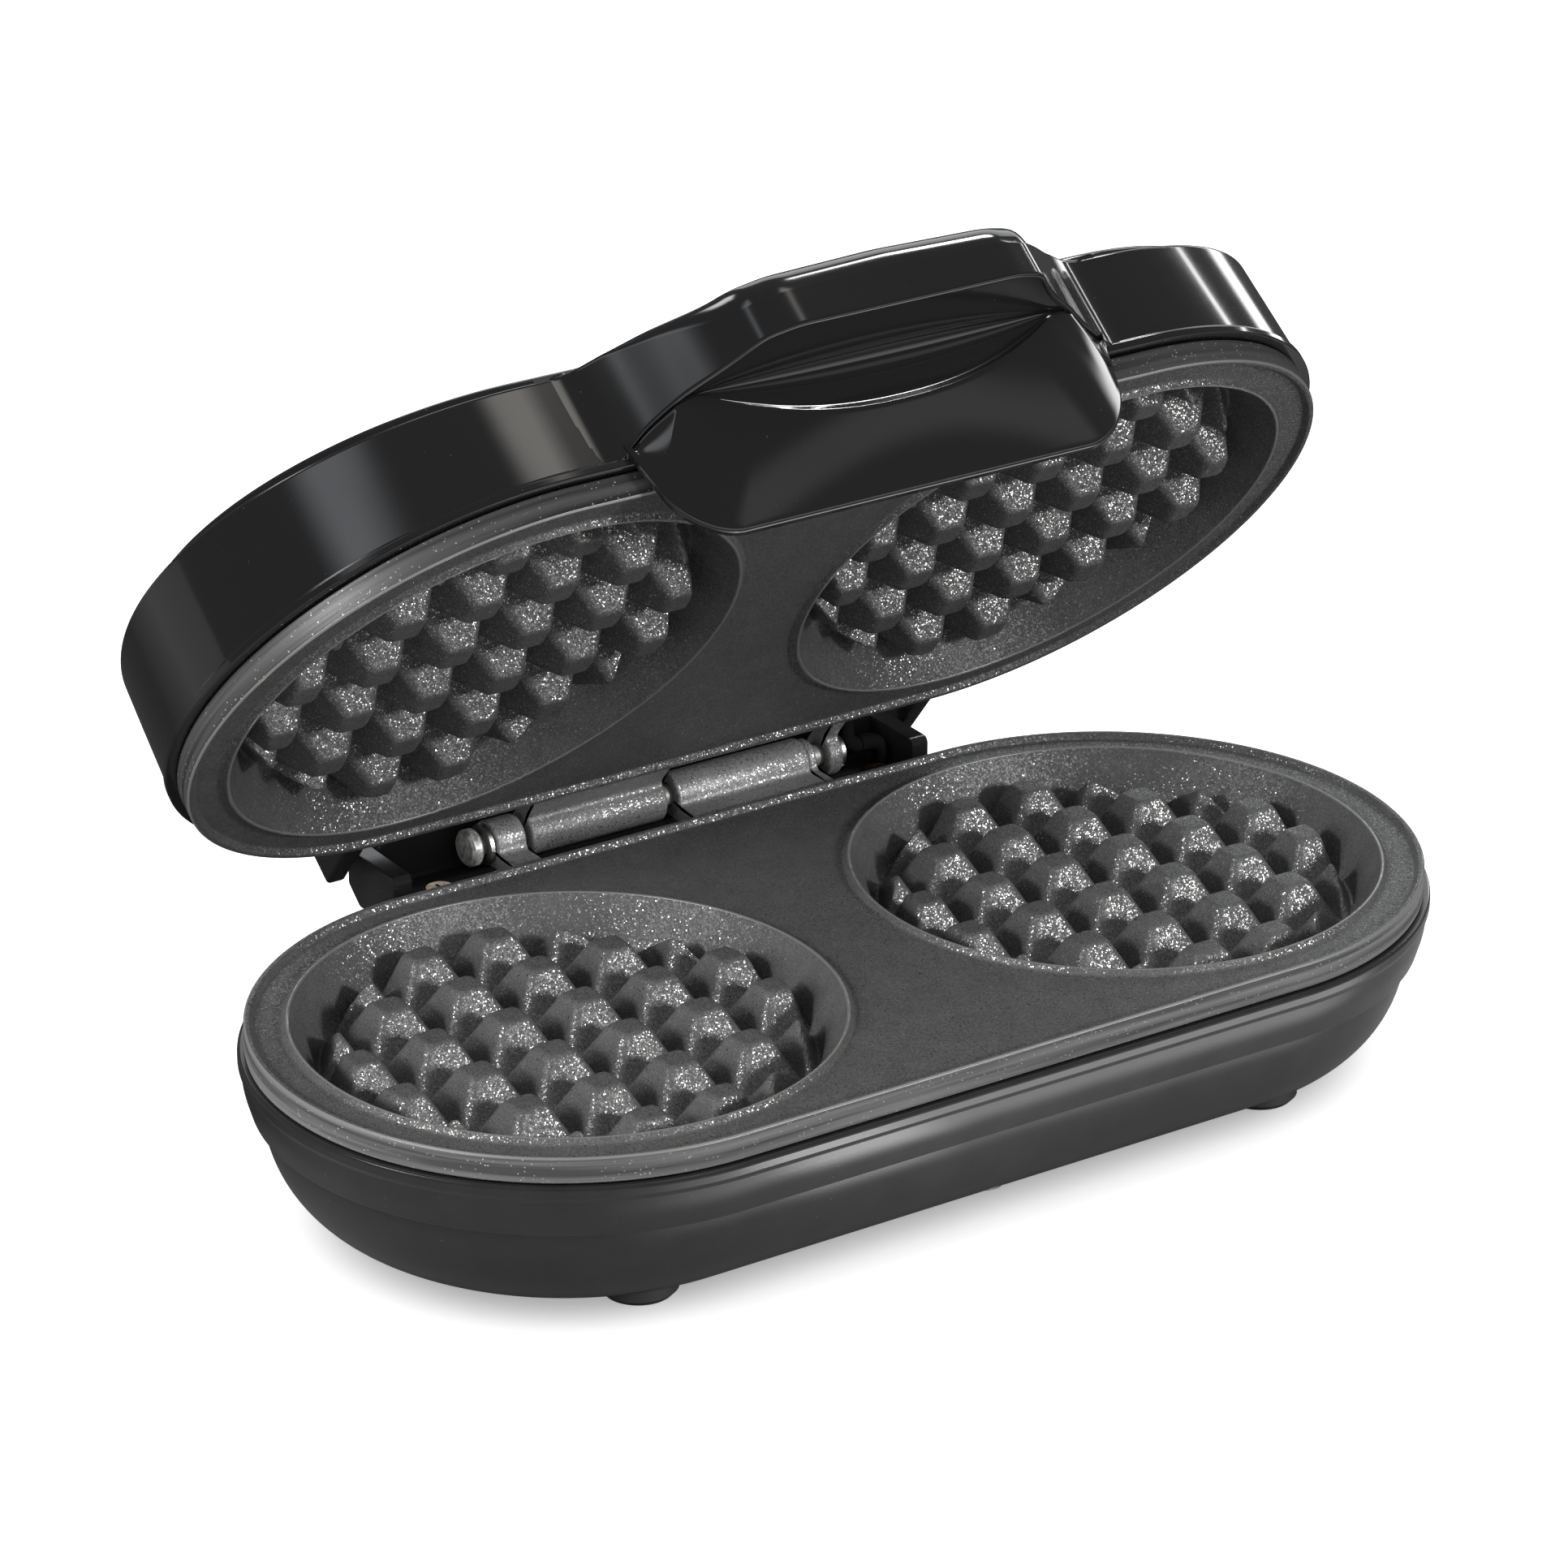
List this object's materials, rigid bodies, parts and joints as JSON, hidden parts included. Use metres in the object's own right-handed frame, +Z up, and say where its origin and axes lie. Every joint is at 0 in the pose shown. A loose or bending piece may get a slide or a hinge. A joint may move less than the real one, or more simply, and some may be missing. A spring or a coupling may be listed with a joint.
{
  "type": "waffle maker",
  "caption": "Countertop double waffle maker, two round moulds side by side in a long rounded black housing, hinged lid with front handle, shown part open.",
  "frame": {"origin": "on the table plane, below the middle of the lower waffle plate, at the centre of the four feet", "axes": "+Z up, +X along the two moulds to the right as seen from the handle, +Y from the handle towards the hinge"},
  "size_m": [0.2424, 0.1492, 0.1731],
  "materials": {
    "casing_plastic": "satin gloss black",
    "lid_plastic": "high gloss black",
    "nonstick_plate": "charcoal non-stick coat with fine bright flecks, machined edge bare",
    "soft_rubber": "matte black",
    "brass_screw": "yellow passivated",
    "heater_sheath": "heat darkened",
    "reflector_sheet": "mill finish sheet",
    "plated_steel": "zinc plated",
    "hinge_steel": "turned",
    "thermostat_ceramic": "unglazed",
    "inner_plastic": "natural nylon",
    "fuse_sleeve": "glass-fibre sleeve",
    "wire_cover": "silicone",
    "lead_sleeve": "braided sleeve",
    "red_lens": "clear tinted",
    "green_lens": "clear tinted",
    "lamp_glass": "clear"
  },
  "bodies": {
    "base": {"lower_casing": "casing_plastic", "foot_front_left": "soft_rubber", "foot_front_right": "soft_rubber", "foot_rear_left": "soft_rubber", "foot_rear_right": "soft_rubber", "foot_screws": "plated_steel", "lower_waffle_plate": "nonstick_plate", "lower_heating_element": "heater_sheath", "lower_element_saddles": "plated_steel", "lower_saddle_screws": "plated_steel", "lower_reflector": "reflector_sheet", "lower_plate_screws": "plated_steel", "thermostat": "thermostat_ceramic", "thermostat_strap": "plated_steel", "thermostat_screws": "plated_steel", "thermal_fuse": "fuse_sleeve", "terminal_block": "inner_plastic", "terminal_screws": "plated_steel", "lower_wires": "wire_cover", "cord_grommet": "soft_rubber", "cord_clamp": "inner_plastic", "cord_clamp_screws": "plated_steel", "channel_screws": "brass_screw", "hinge_pin": "hinge_steel", "hinge_head_washer": "plated_steel", "hinge_end_clip": "plated_steel", "jumper_lead_base": "lead_sleeve"},
    "lid": {"lid_shell": "lid_plastic", "lid_cover": "lid_plastic", "handle_grip": "lid_plastic", "handle_screws": "plated_steel", "upper_waffle_plate": "nonstick_plate", "upper_heating_element": "heater_sheath", "upper_element_saddles": "plated_steel", "upper_saddle_screws": "plated_steel", "upper_reflector": "reflector_sheet", "upper_plate_screws": "plated_steel", "power_lamp_lens": "red_lens", "ready_lamp_lens": "green_lens", "neon_lamps": "lamp_glass", "lamp_holder": "inner_plastic", "upper_wires": "wire_cover", "jumper_lead_lid": "lead_sleeve"}
  },
  "joints": [
    {"name": "lid_hinge", "type": "hinge", "parent": "base", "child": "lid", "pos_m": [0, 0.0696, 0.0385], "axis": [-1, 0, 0], "range_deg": [-51.4, 48.6]}
  ]
}
